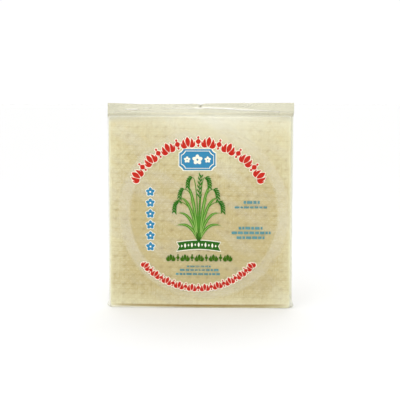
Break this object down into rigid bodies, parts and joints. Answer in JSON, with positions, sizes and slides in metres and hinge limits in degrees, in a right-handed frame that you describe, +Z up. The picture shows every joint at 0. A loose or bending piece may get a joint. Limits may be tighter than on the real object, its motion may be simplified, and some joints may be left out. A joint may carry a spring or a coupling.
{
  "type": "square rice paper wrapper pack",
  "caption": "Upright stack of thin square rice paper wrappers with a woven-mat texture, sealed in a clear printed film bag with a flat fin on top.",
  "frame": {"origin": "on the floor under the middle of the pack's foot", "axes": "+Z up through the sealed fin, -Y out of the printed front, +X to the right seen from the front"},
  "size_m": [0.2252, 0.022, 0.2455],
  "materials": {
    "rice_paper": "translucent dried rice sheet, matte, embossed by a woven mat",
    "clear_film": "thin clear glossy film, lightly creased",
    "film_print": "flexographic print in red, blue, green and white on the film"
  },
  "bodies": {
    "root": {"sealed_bag": "rice_paper"}
  },
  "joints": []
}
